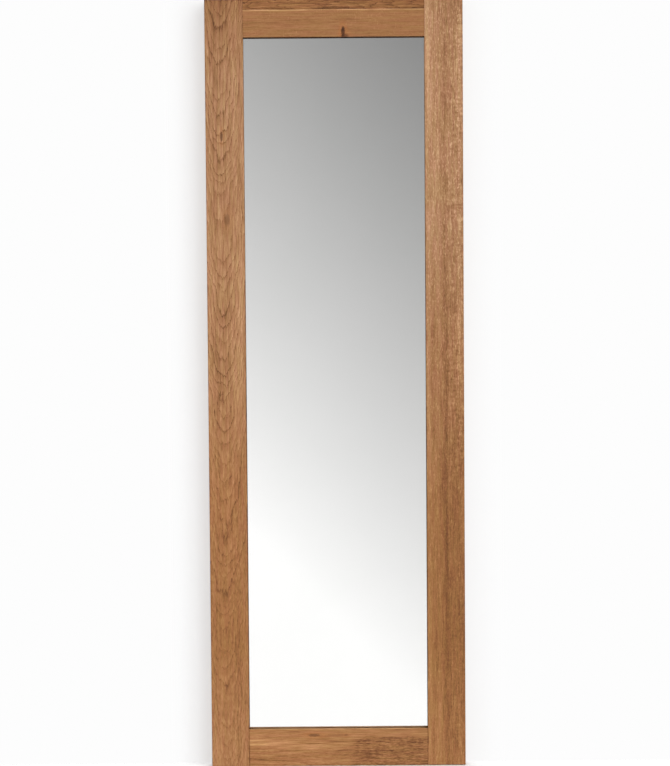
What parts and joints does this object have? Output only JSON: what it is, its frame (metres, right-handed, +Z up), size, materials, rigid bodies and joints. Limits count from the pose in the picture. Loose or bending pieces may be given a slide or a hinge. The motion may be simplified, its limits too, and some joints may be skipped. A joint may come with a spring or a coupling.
{
  "type": "full-length wall mirror",
  "caption": "Tall rectangular mirror in a flat oak frame with tenoned corners, a backing board, swinging ring hangers and wall bumpers.",
  "frame": {"origin": "middle of the frame's bottom edge, half way through the frame's thickness", "axes": "+Z up the mirror's height, +X to the viewer's right across its width, -Y out of the glass towards the viewer, +Y towards the wall"},
  "size_m": [0.6, 0.034, 1.8],
  "materials": {
    "oak": "oiled satin",
    "dark_oak": "oiled satin",
    "pale_oak": "oiled satin",
    "glass": "polished float glass with seamed edges",
    "silvering": "silver coat with grey backing paint",
    "safety_film": "smooth film",
    "foam_sheet": "closed-cell foam",
    "glazing_tape": "foam tape",
    "block_rubber": "matt",
    "fibreboard": "raw pressed fibreboard",
    "zinc_screws": "zinc plated",
    "zinc_strap": "zinc plated",
    "zinc_ring": "zinc plated",
    "bumper_rubber": "matt"
  },
  "bodies": {
    "mirror": {"left_stile": "oak", "right_stile": "oak", "top_rail": "oak", "top_rail_cap_strip": "dark_oak", "bottom_rail": "pale_oak", "glass_pane": "glass", "silvering": "silvering", "safety_film": "safety_film", "foam_sheet": "foam_sheet", "left_glazing_tape": "glazing_tape", "right_glazing_tape": "glazing_tape", "top_glazing_tape": "glazing_tape", "bottom_glazing_tape": "glazing_tape", "setting_blocks": "block_rubber", "side_blocks": "block_rubber", "back_board": "fibreboard", "back_board_screws": "zinc_screws", "left_hanger_strap": "zinc_strap", "right_hanger_strap": "zinc_strap", "left_hanger_screws": "zinc_screws", "right_hanger_screws": "zinc_screws", "left_wall_bumper": "bumper_rubber", "right_wall_bumper": "bumper_rubber", "bumper_screws": "zinc_screws"},
    "left_ring": {"left_hanger_ring": "zinc_ring"},
    "right_ring": {"right_hanger_ring": "zinc_ring"}
  },
  "joints": [
    {"name": "left_ring_swing", "type": "hinge", "parent": "mirror", "child": "left_ring", "pos_m": [-0.2665, 0.01685, 1.5], "axis": [1, 0, 0], "range_deg": [0, 178]},
    {"name": "right_ring_swing", "type": "hinge", "parent": "mirror", "child": "right_ring", "pos_m": [0.2665, 0.01685, 1.5], "axis": [1, 0, 0], "range_deg": [0, 178]}
  ]
}
